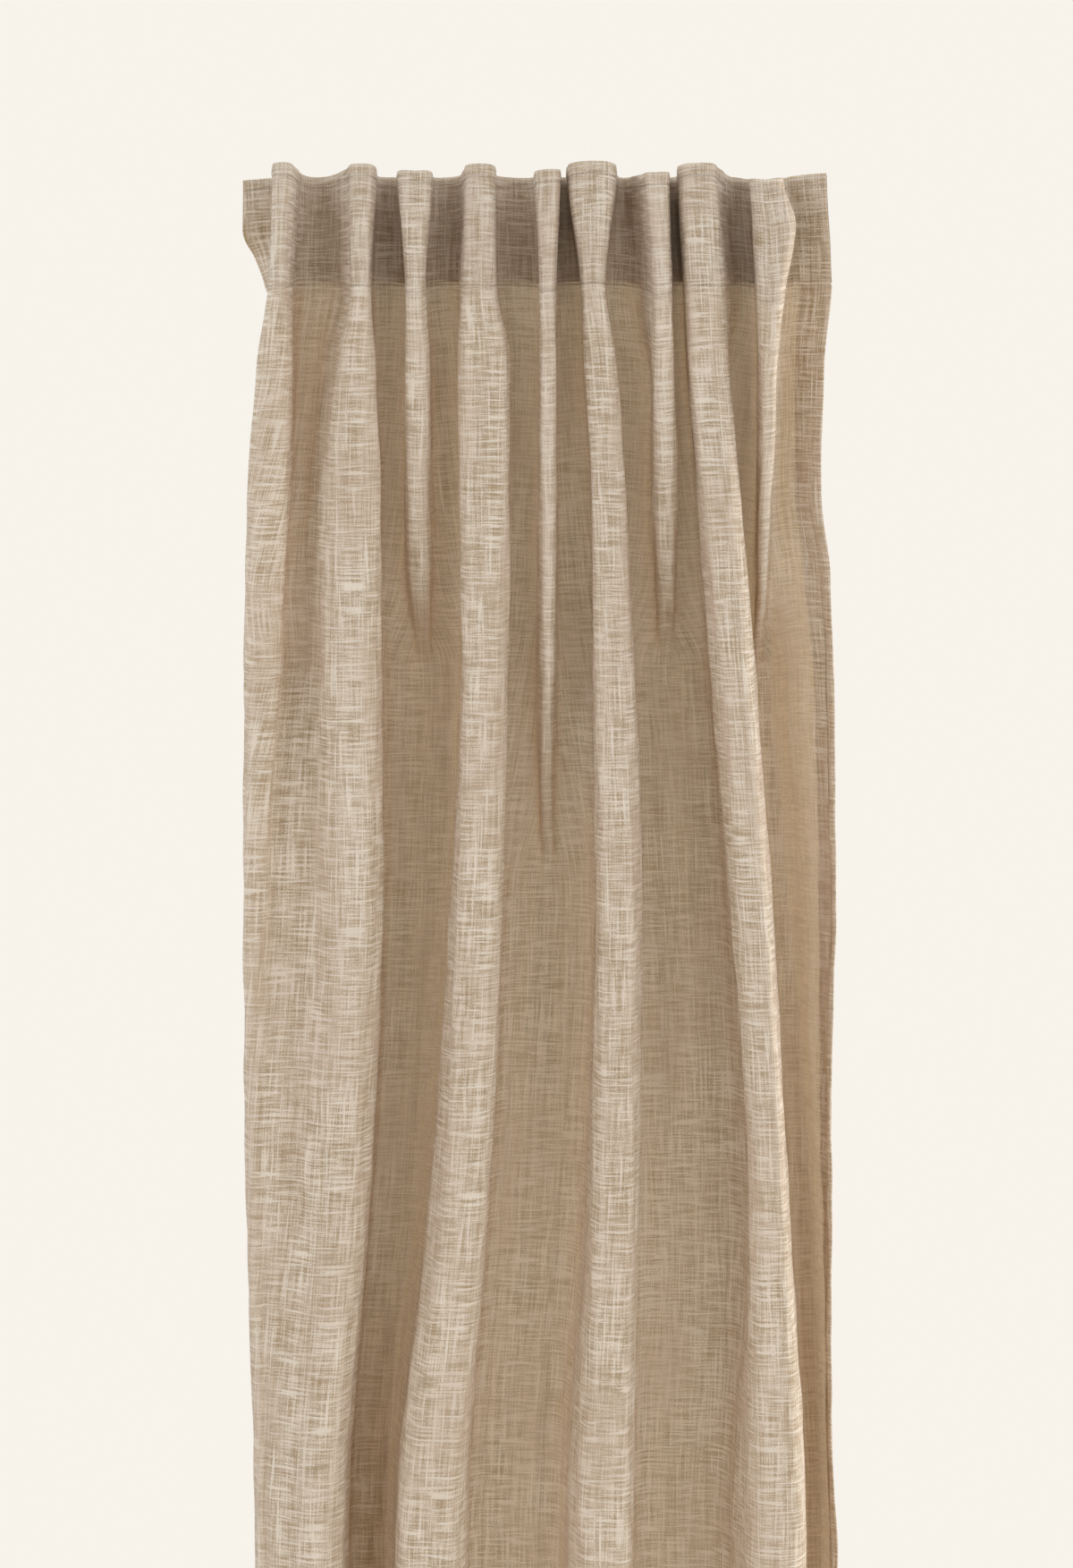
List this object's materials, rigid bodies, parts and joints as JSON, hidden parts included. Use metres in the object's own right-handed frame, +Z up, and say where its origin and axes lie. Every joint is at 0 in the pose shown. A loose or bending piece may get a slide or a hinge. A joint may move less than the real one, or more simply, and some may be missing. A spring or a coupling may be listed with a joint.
{
  "type": "curtain panel",
  "caption": "Gathered fabric curtain panel with a hidden-tab heading that slides on a round rod, with side hems and a bottom hem.",
  "frame": {"origin": "on the axis of the rod that the tabs are made for, at the middle of the gathered panel", "axes": "+X along the rod to the right seen from the room, -Y out of the panel's front into the room, +Z up"},
  "size_m": [0.5019, 0.1443, 2.5],
  "materials": {
    "linen": "slubby linen-look plain weave, half sheer, matt",
    "tape": "close woven heading tape, matt",
    "webbing": "ribbed woven strap, matt",
    "label": "blank satin label"
  },
  "bodies": {
    "tab_00": {"back_tab_00": "webbing", "cloth_section_00": "linen", "heading_tape_00": "tape", "bottom_hem_00": "linen", "side_hem_left": "linen", "care_label": "label"},
    "tab_01": {"back_tab_01": "webbing", "cloth_section_01": "linen", "heading_tape_01": "tape", "bottom_hem_01": "linen"},
    "tab_02": {"back_tab_02": "webbing", "cloth_section_02": "linen", "heading_tape_02": "tape", "bottom_hem_02": "linen"},
    "tab_03": {"back_tab_03": "webbing", "cloth_section_03": "linen", "heading_tape_03": "tape", "bottom_hem_03": "linen"},
    "tab_04": {"back_tab_04": "webbing", "cloth_section_04": "linen", "heading_tape_04": "tape", "bottom_hem_04": "linen"},
    "tab_05": {"back_tab_05": "webbing", "cloth_section_05": "linen", "heading_tape_05": "tape", "bottom_hem_05": "linen"},
    "tab_06": {"back_tab_06": "webbing", "cloth_section_06": "linen", "heading_tape_06": "tape", "bottom_hem_06": "linen"},
    "tab_07": {"back_tab_07": "webbing", "cloth_section_07": "linen", "heading_tape_07": "tape", "bottom_hem_07": "linen"},
    "tab_08": {"back_tab_08": "webbing", "cloth_section_08": "linen", "heading_tape_08": "tape", "bottom_hem_08": "linen"},
    "tab_09": {"back_tab_09": "webbing", "cloth_section_09": "linen", "heading_tape_09": "tape", "bottom_hem_09": "linen", "side_hem_right": "linen"}
  },
  "joints": [
    {"name": "part_00_01", "type": "slide", "parent": "tab_00", "child": "tab_01", "axis": [1, 0, 0], "range_m": [0, 0.045]},
    {"name": "part_01_02", "type": "slide", "parent": "tab_01", "child": "tab_02", "axis": [1, 0, 0], "range_m": [0, 0.045]},
    {"name": "part_02_03", "type": "slide", "parent": "tab_02", "child": "tab_03", "axis": [1, 0, 0], "range_m": [0, 0.045]},
    {"name": "part_03_04", "type": "slide", "parent": "tab_03", "child": "tab_04", "axis": [1, 0, 0], "range_m": [0, 0.045]},
    {"name": "part_04_05", "type": "slide", "parent": "tab_04", "child": "tab_05", "axis": [1, 0, 0], "range_m": [0, 0.045]},
    {"name": "part_05_06", "type": "slide", "parent": "tab_05", "child": "tab_06", "axis": [1, 0, 0], "range_m": [0, 0.045]},
    {"name": "part_06_07", "type": "slide", "parent": "tab_06", "child": "tab_07", "axis": [1, 0, 0], "range_m": [0, 0.045]},
    {"name": "part_07_08", "type": "slide", "parent": "tab_07", "child": "tab_08", "axis": [1, 0, 0], "range_m": [0, 0.045]},
    {"name": "part_08_09", "type": "slide", "parent": "tab_08", "child": "tab_09", "axis": [1, 0, 0], "range_m": [0, 0.045]}
  ]
}
